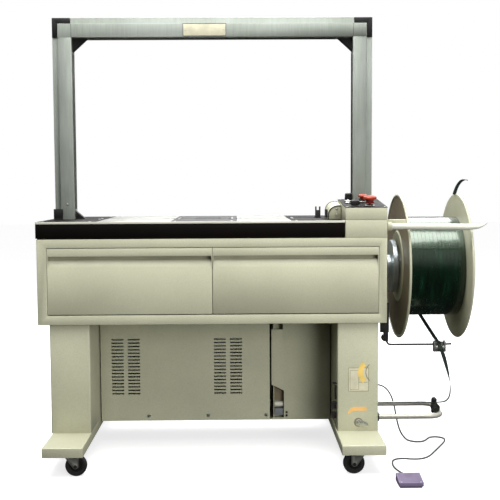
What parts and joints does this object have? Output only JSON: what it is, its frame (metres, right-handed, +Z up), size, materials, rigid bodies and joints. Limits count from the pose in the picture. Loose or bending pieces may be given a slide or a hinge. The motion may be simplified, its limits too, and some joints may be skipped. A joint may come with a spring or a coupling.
{
  "type": "arch strapping machine",
  "caption": "Arch strapping machine: steel cabinet with work table, strap arch, castored legs, side strap reel with brake arm, and a foot switch.",
  "frame": {"origin": "bottom centre of the whole machine, on the floor", "axes": "+X towards the strap reel, -Y towards the operator, +Z up"},
  "size_m": [1.408, 0.915, 1.42],
  "materials": {
    "cream_paint": "satin stove enamel",
    "black_paint": "satin black enamel",
    "stainless": "brushed",
    "dark_steel": "blackened, worn",
    "arch_metal": "satin",
    "black_plastic": "moulded",
    "zinc": "zinc plated",
    "tyre_rubber": "moulded",
    "turned_steel": "turned",
    "green_strap": "embossed polypropylene",
    "red_plastic": "moulded",
    "lamp_lens": "clear",
    "purple_plastic": "moulded",
    "cord_rubber": "matt",
    "machine_grey": "satin",
    "roller_rubber": "matt"
  },
  "bodies": {
    "machine": {"arch_frame": "arch_metal", "arch_guides": "black_plastic", "base_tray": "cream_paint", "brake_bracket": "dark_steel", "cabinet_floor": "cream_paint", "cabinet_panels": "cream_paint", "caster_plates": "zinc", "chute_hood": "cream_paint", "control_box": "cream_paint", "control_panel": "black_paint", "door_hinges": "zinc", "drive_motor": "machine_grey", "electrical_box": "machine_grey", "feet": "cream_paint", "foot_switch_base": "black_plastic", "foot_switch_cord": "cord_rubber", "front_frame": "cream_paint", "guard_arm": "cream_paint", "guide_bar": "stainless", "head_cover_plates": "dark_steel", "head_frame": "dark_steel", "indicator_lamp": "lamp_lens", "legs": "cream_paint", "louvred_panel": "cream_paint", "panel_screws": "zinc", "pool_panel": "cream_paint", "reel_spindle": "turned_steel", "side_fittings": "black_plastic", "start_switch": "dark_steel", "strap_pool_box": "cream_paint", "strap_run": "green_strap", "table_frame": "black_paint", "table_plates": "stainless"},
    "left_door": {"left_door": "cream_paint"},
    "right_door": {"right_door": "cream_paint"},
    "reel": {"strap_reel": "cream_paint", "strap_coil": "green_strap", "reel_hub": "turned_steel", "reel_nut": "zinc"},
    "brake_arm": {"brake_arm": "dark_steel"},
    "lower_roller": {"lower_roller": "black_plastic"},
    "upper_roller": {"upper_roller": "black_plastic"},
    "foot_pedal": {"foot_pedal": "purple_plastic"},
    "stop_button": {"stop_button": "red_plastic"},
    "reset_button": {"reset_button": "red_plastic"},
    "timer_knob": {"timer_knob": "black_plastic"},
    "selector_knob": {"selector_knob": "black_plastic"},
    "cam_shaft": {"cam_shaft": "dark_steel"},
    "feed_roller": {"feed_roller": "roller_rubber"},
    "pinch_roller": {"pinch_roller": "roller_rubber"},
    "anvil_slide": {"anvil_slide": "dark_steel"},
    "threading_lever": {"threading_lever": "zinc"},
    "caster_fork_front_left": {"caster_fork_front_left": "zinc"},
    "caster_wheel_front_left": {"caster_wheel_front_left": "tyre_rubber"},
    "caster_fork_front_right": {"caster_fork_front_right": "zinc"},
    "caster_wheel_front_right": {"caster_wheel_front_right": "tyre_rubber"},
    "caster_fork_rear_left": {"caster_fork_rear_left": "zinc"},
    "caster_wheel_rear_left": {"caster_wheel_rear_left": "tyre_rubber"},
    "caster_fork_rear_right": {"caster_fork_rear_right": "zinc"},
    "caster_wheel_rear_right": {"caster_wheel_rear_right": "tyre_rubber"}
  },
  "joints": [
    {"name": "left_door_hinge", "type": "hinge", "parent": "machine", "child": "left_door", "pos_m": [-0.159, -0.1875, 0.4785], "axis": [1, 0, 0], "range_deg": [0, 90]},
    {"name": "right_door_hinge", "type": "hinge", "parent": "machine", "child": "right_door", "pos_m": [-0.159, -0.1875, 0.4785], "axis": [1, 0, 0], "range_deg": [0, 90]},
    {"name": "caster_swivel_front_left", "type": "hinge", "parent": "machine", "child": "caster_fork_front_left", "pos_m": [-0.584, -0.3145, 0.081], "axis": [0, 0, 1], "continuous": true},
    {"name": "caster_roll_front_left", "type": "hinge", "parent": "caster_fork_front_left", "child": "caster_wheel_front_left", "pos_m": [-0.569, -0.3145, 0.0325], "axis": [0, 1, 0], "continuous": true},
    {"name": "caster_swivel_front_right", "type": "hinge", "parent": "machine", "child": "caster_fork_front_right", "pos_m": [0.281, -0.3145, 0.081], "axis": [0, 0, 1], "continuous": true},
    {"name": "caster_roll_front_right", "type": "hinge", "parent": "caster_fork_front_right", "child": "caster_wheel_front_right", "pos_m": [0.266, -0.3145, 0.0325], "axis": [0, 1, 0], "continuous": true},
    {"name": "caster_swivel_rear_left", "type": "hinge", "parent": "machine", "child": "caster_fork_rear_left", "pos_m": [-0.584, 0.4255, 0.081], "axis": [0, 0, 1], "continuous": true},
    {"name": "caster_roll_rear_left", "type": "hinge", "parent": "caster_fork_rear_left", "child": "caster_wheel_rear_left", "pos_m": [-0.569, 0.4255, 0.0325], "axis": [0, 1, 0], "continuous": true},
    {"name": "caster_swivel_rear_right", "type": "hinge", "parent": "machine", "child": "caster_fork_rear_right", "pos_m": [0.281, 0.4255, 0.081], "axis": [0, 0, 1], "continuous": true},
    {"name": "caster_roll_rear_right", "type": "hinge", "parent": "caster_fork_rear_right", "child": "caster_wheel_rear_right", "pos_m": [0.266, 0.4255, 0.0325], "axis": [0, 1, 0], "continuous": true},
    {"name": "reel_spin", "type": "hinge", "parent": "machine", "child": "reel", "pos_m": [0.541, 0.0555, 0.594], "axis": [1, 0, 0], "continuous": true},
    {"name": "brake_arm_pivot", "type": "hinge", "parent": "machine", "child": "brake_arm", "pos_m": [0.403, -0.0345, 0.364], "axis": [0, -1, 0], "range_deg": [-8, 0], "stiffness_Nm_per_rad": 2, "springref_deg": 20.05},
    {"name": "lower_roller_spin", "type": "hinge", "parent": "machine", "child": "lower_roller", "pos_m": [0.557, -0.1045, 0.147], "axis": [0, 1, 0], "continuous": true},
    {"name": "upper_roller_spin", "type": "hinge", "parent": "machine", "child": "upper_roller", "pos_m": [0.554, -0.1045, 0.1723], "axis": [0, 1, 0], "continuous": true},
    {"name": "pedal_hinge", "type": "hinge", "parent": "machine", "child": "foot_pedal", "pos_m": [0.4135, -0.4015, 0.016], "axis": [1, 0, 0], "range_deg": [0, 3], "stiffness_Nm_per_rad": 4, "springref_deg": -2.86},
    {"name": "stop_button_press", "type": "slide", "parent": "machine", "child": "stop_button", "axis": [0, 0.1032, -0.9947], "range_m": [0, 0.004], "stiffness_N_per_m": 900, "springref_m": -0.001},
    {"name": "reset_button_press", "type": "slide", "parent": "machine", "child": "reset_button", "axis": [0, 0.1032, -0.9947], "range_m": [0, 0.004], "stiffness_N_per_m": 700, "springref_m": -0.001},
    {"name": "timer_knob_turn", "type": "hinge", "parent": "machine", "child": "timer_knob", "pos_m": [0.288, -0.1565, 0.80294], "axis": [0, -0.1032, 0.9947], "range_deg": [-140, 140]},
    {"name": "selector_knob_turn", "type": "hinge", "parent": "machine", "child": "selector_knob", "pos_m": [0.284, -0.0245, 0.81664], "axis": [0, -0.1032, 0.9947], "range_deg": [-45, 45]},
    {"name": "cam_shaft_turn", "type": "hinge", "parent": "machine", "child": "cam_shaft", "pos_m": [-0.159, 0.0555, 0.663], "axis": [1, 0, 0], "continuous": true},
    {"name": "feed_roller_turn", "type": "hinge", "parent": "machine", "child": "feed_roller", "pos_m": [0.011, 0.0555, 0.523], "axis": [0, 1, 0], "continuous": true},
    {"name": "pinch_roller_turn", "type": "hinge", "parent": "machine", "child": "pinch_roller", "pos_m": [0.011, 0.0555, 0.5756], "axis": [0, 1, 0], "continuous": true},
    {"name": "anvil_slide_travel", "type": "slide", "parent": "machine", "child": "anvil_slide", "axis": [0, 1, 0], "range_m": [0, 0.02]},
    {"name": "threading_lever_turn", "type": "hinge", "parent": "machine", "child": "threading_lever", "pos_m": [0.297, -0.1895, 0.121], "axis": [0, 1, 0], "range_deg": [-60, 0]}
  ],
  "couplings": [
    {"joint": "pinch_roller_turn", "follows": "feed_roller_turn", "ratio": -1.3636}
  ]
}
